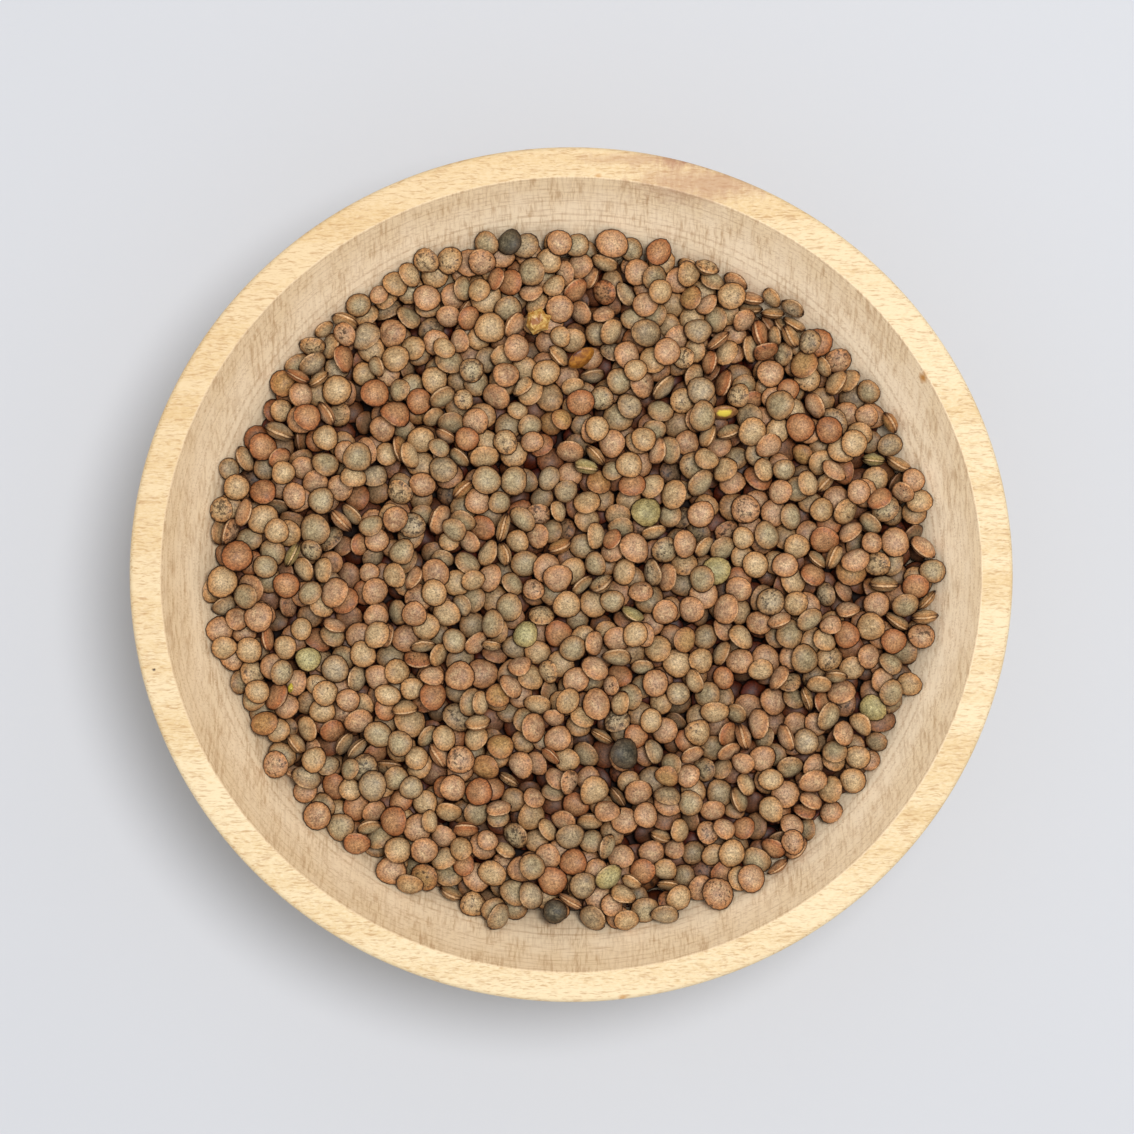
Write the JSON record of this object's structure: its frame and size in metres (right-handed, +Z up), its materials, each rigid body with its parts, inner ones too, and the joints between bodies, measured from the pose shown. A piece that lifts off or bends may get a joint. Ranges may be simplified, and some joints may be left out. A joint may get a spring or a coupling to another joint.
{
  "type": "bowl of dry lentils",
  "caption": "Turned bowl of pale wood, slightly oval, with a broad flat rim, filled with small dry brown lentils to a little below the rim.",
  "frame": {"origin": "on the table, under the middle of the bowl's foot", "axes": "+X along the wood's grain, which is the bowl's longer way and the picture's right; +Y across the grain, up in the picture; +Z up, out of the bowl"},
  "size_m": [0.16, 0.1548, 0.052],
  "materials": {
    "pale_hardwood": "fine-turned, bare, matte",
    "lentil_skin": "matte to faintly satin, mottled brown"
  },
  "bodies": {
    "root": {"bowl": "pale_hardwood", "lentils": "lentil_skin"}
  },
  "joints": []
}
